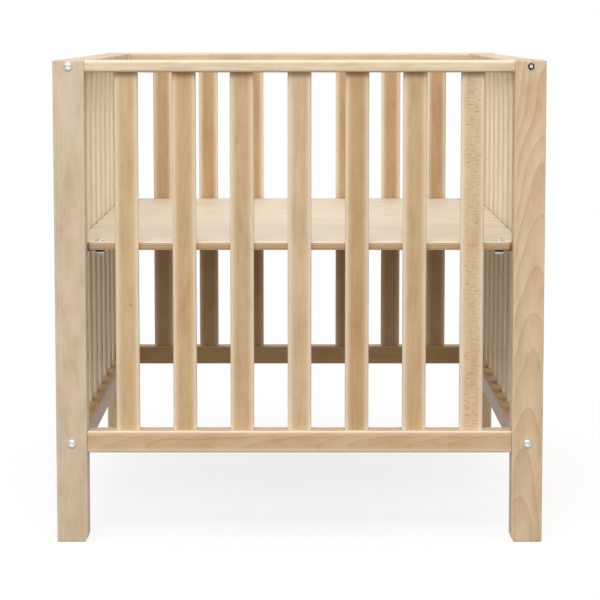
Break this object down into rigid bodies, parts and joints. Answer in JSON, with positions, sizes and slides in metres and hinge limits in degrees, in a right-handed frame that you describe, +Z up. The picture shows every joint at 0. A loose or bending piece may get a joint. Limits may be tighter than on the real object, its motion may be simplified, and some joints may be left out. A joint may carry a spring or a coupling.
{
  "type": "baby crib",
  "caption": "Raised wooden baby crib of the playpen kind: corner legs, slatted ends and sides, and a plywood base board on black steel brackets.",
  "frame": {"origin": "on the floor, midway between the four legs", "axes": "+Z up, +X to the right seen from the front, +Y from the front end to the rear end, along the crib's length"},
  "size_m": [0.8, 1.018, 0.793],
  "materials": {
    "beech": "steamed beech, planed and sanded, thin matt lacquer",
    "plywood": "beech-faced plywood, sanded, thin matt lacquer",
    "zinc_plated_steel": "bright zinc plate",
    "black_steel": "black oxide or thin black paint"
  },
  "bodies": {
    "frame": {"top_rail_front": "beech", "bottom_rail_front": "beech", "slat_front_1": "beech", "slat_front_2": "beech", "slat_front_3": "beech", "slat_front_4": "beech", "slat_front_5": "beech", "slat_front_6": "beech", "slat_front_7": "beech", "top_rail_rear": "beech", "bottom_rail_rear": "beech", "slat_rear_1": "beech", "slat_rear_2": "beech", "slat_rear_3": "beech", "slat_rear_4": "beech", "slat_rear_5": "beech", "slat_rear_6": "beech", "slat_rear_7": "beech", "top_rail_left": "beech", "bottom_rail_left": "beech", "slat_left_1": "beech", "slat_left_2": "beech", "slat_left_3": "beech", "slat_left_4": "beech", "slat_left_5": "beech", "slat_left_6": "beech", "slat_left_7": "beech", "slat_left_8": "beech", "slat_left_9": "beech", "top_rail_right": "beech", "bottom_rail_right": "beech", "slat_right_1": "beech", "slat_right_2": "beech", "slat_right_3": "beech", "slat_right_4": "beech", "slat_right_5": "beech", "slat_right_6": "beech", "slat_right_7": "beech", "slat_right_8": "beech", "slat_right_9": "beech", "leg_front_left": "beech", "bolt_top_front_left": "zinc_plated_steel", "bolt_bottom_front_left": "zinc_plated_steel", "leg_front_right": "beech", "bolt_top_front_right": "black_steel", "bolt_bottom_front_right": "zinc_plated_steel", "leg_rear_left": "beech", "bolt_top_rear_left": "zinc_plated_steel", "bolt_bottom_rear_left": "zinc_plated_steel", "leg_rear_right": "beech", "bolt_top_rear_right": "zinc_plated_steel", "bolt_bottom_rear_right": "zinc_plated_steel"},
    "base": {"base_board": "plywood", "bracket_front_left": "black_steel", "bracket_front_right": "black_steel", "bracket_rear_left": "black_steel", "bracket_rear_right": "black_steel"}
  },
  "joints": [
    {"name": "base_height", "type": "slide", "parent": "frame", "child": "base", "axis": [0, 0, 1], "range_m": [-0.2925, 0]}
  ]
}
